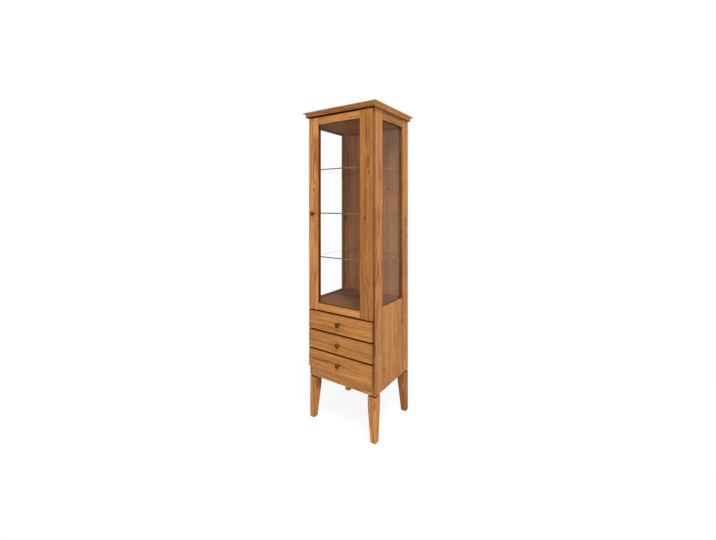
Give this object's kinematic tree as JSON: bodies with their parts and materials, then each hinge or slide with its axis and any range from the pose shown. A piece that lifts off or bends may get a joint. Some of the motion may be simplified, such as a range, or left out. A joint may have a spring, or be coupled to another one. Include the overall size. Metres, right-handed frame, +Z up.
{
  "type": "display cabinet",
  "caption": "Tall narrow oak display cabinet on tapered legs, with a glazed door, glazed sides, glass shelves, drawers and a moulded cornice.",
  "frame": {"origin": "on the floor, under the middle of the overall width and depth, knobs and cornice included", "axes": "+Z up, the door and drawers face -Y, +X to the right as the viewer in front sees it"},
  "size_m": [0.528, 0.482, 1.9],
  "materials": {
    "oiled_oak": "honey-coloured knotty oak, oiled, satin",
    "inner_oak": "plain oak, planed and lightly oiled",
    "turned_oak": "turned oak, oiled, a little darker than the fronts",
    "clear_glass": "clear float glass with polished edges",
    "brass": "satin brass",
    "steel": "zinc-plated or nickel-plated steel"
  },
  "bodies": {
    "case": {"back_panel": "oiled_oak", "case_floor": "inner_oak", "case_screws": "steel", "catch_magnets": "steel", "ceiling_panel": "oiled_oak", "compartment_floor": "oiled_oak", "cornice_front": "oiled_oak", "cornice_left": "oiled_oak", "cornice_rear": "oiled_oak", "cornice_right": "oiled_oak", "drawer_runners": "inner_oak", "drawer_stops": "inner_oak", "front_bottom_rail": "oiled_oak", "front_cross_rails": "inner_oak", "left_front_stile": "oiled_oak", "left_lower_panel": "oiled_oak", "left_rear_stile": "oiled_oak", "left_side_glass": "clear_glass", "left_top_rail": "oiled_oak", "leg_front_left": "oiled_oak", "leg_front_right": "oiled_oak", "leg_rear_left": "oiled_oak", "leg_rear_right": "oiled_oak", "lower_glass_shelf": "clear_glass", "middle_glass_shelf": "clear_glass", "pivot_brackets": "brass", "rear_bottom_rail": "inner_oak", "right_front_stile": "oiled_oak", "right_lower_panel": "oiled_oak", "right_rear_stile": "oiled_oak", "right_side_glass": "clear_glass", "right_top_rail": "oiled_oak", "shelf_pins": "brass", "side_glazing_beads": "oiled_oak", "top_panel": "oiled_oak", "upper_glass_shelf": "clear_glass"},
    "door": {"door_left_stile": "oiled_oak", "door_right_stile": "oiled_oak", "door_top_rail": "oiled_oak", "door_bottom_rail": "oiled_oak", "door_glass": "clear_glass", "door_glazing_beads": "oiled_oak", "door_knob": "turned_oak", "door_pivot_fittings": "brass", "catch_plates": "steel"},
    "upper_drawer": {"upper_drawer_back": "inner_oak", "upper_drawer_bottom": "inner_oak", "upper_drawer_front": "oiled_oak", "upper_drawer_knob": "turned_oak", "upper_drawer_sides": "inner_oak"},
    "middle_drawer": {"middle_drawer_back": "inner_oak", "middle_drawer_bottom": "inner_oak", "middle_drawer_front": "oiled_oak", "middle_drawer_knob": "turned_oak", "middle_drawer_sides": "inner_oak"},
    "lower_drawer": {"lower_drawer_back": "inner_oak", "lower_drawer_bottom": "inner_oak", "lower_drawer_front": "oiled_oak", "lower_drawer_knob": "turned_oak", "lower_drawer_sides": "inner_oak"}
  },
  "joints": [
    {"name": "door_swing", "type": "hinge", "parent": "case", "child": "door", "pos_m": [0.2235, -0.206, 1.274], "axis": [0, 0, 1], "range_deg": [0, 170]},
    {"name": "upper_drawer_slide", "type": "slide", "parent": "case", "child": "upper_drawer", "axis": [0, -1, 0], "range_m": [0, 0.28]},
    {"name": "middle_drawer_slide", "type": "slide", "parent": "case", "child": "middle_drawer", "axis": [0, -1, 0], "range_m": [0, 0.28]},
    {"name": "lower_drawer_slide", "type": "slide", "parent": "case", "child": "lower_drawer", "axis": [0, -1, 0], "range_m": [0, 0.28]}
  ]
}
